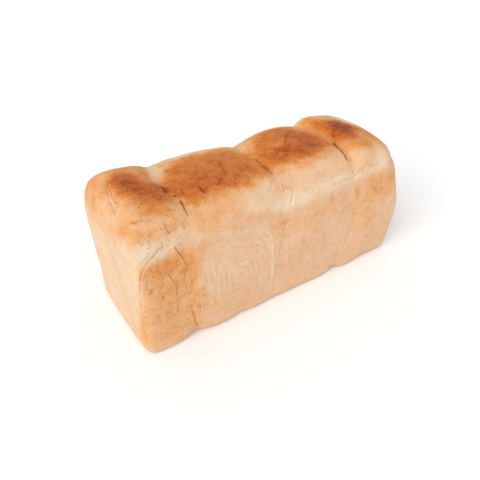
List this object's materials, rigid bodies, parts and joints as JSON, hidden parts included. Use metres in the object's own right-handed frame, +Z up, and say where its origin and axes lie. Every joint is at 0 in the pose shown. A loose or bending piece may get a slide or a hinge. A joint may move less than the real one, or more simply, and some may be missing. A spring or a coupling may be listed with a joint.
{
  "type": "tin loaf",
  "caption": "Long white tin loaf: straight pale sides from the tin, and a row of browned lobes rising side by side above them.",
  "frame": {"origin": "centre of the loaf's bounding box, on the flat base it stands on", "axes": "+X along the loaf from its near end to its puffed far end, +Y across to the back long side, +Z up"},
  "size_m": [0.2778, 0.1138, 0.1339],
  "materials": {
    "crust": "dry matt baked crust: cream and golden on the sides and in the seams, orange to dark brown on the crowns of the lobes, with fine wrinkles, pits and a few short cracks"
  },
  "bodies": {
    "root": {"loaf": "crust"}
  },
  "joints": []
}
